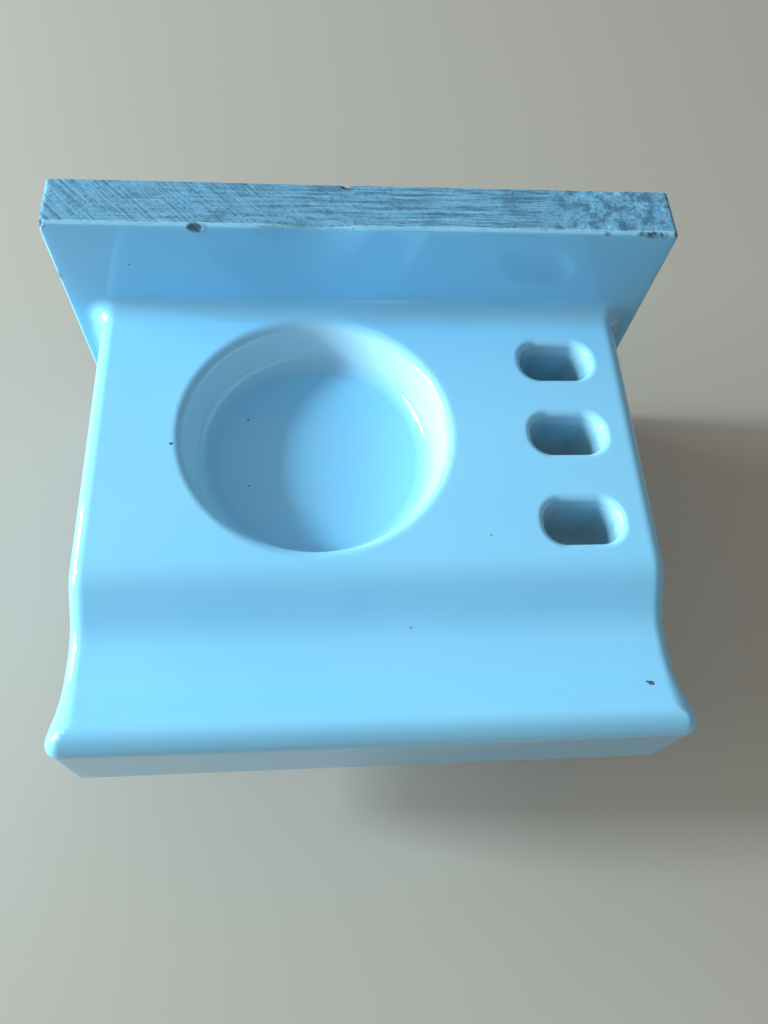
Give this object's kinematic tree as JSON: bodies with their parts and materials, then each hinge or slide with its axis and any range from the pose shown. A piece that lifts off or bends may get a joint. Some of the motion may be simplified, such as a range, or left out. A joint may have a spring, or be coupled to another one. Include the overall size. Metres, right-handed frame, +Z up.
{
  "type": "wall-mounted shaving shelf",
  "caption": "Glazed ceramic wall flange carrying a hollow shelf with a round soap well, handle slots and a front trough.",
  "frame": {"origin": "centre of the flange's back face, on the wall plane", "axes": "+Y into the wall, the shelf projects towards -Y, +Z up, +X to the right of someone facing the shelf"},
  "size_m": [0.1542, 0.1278, 0.1016],
  "materials": {
    "glaze": "gloss pale blue-white glaze",
    "raw_clay": "raw ground edges and back, glazed front face"
  },
  "bodies": {
    "root": {"wall_flange": "raw_clay", "shelf_shell": "glaze", "well_cup": "glaze", "slot_sleeve_rear": "glaze", "slot_sleeve_middle": "glaze", "slot_sleeve_front": "glaze"}
  },
  "joints": []
}
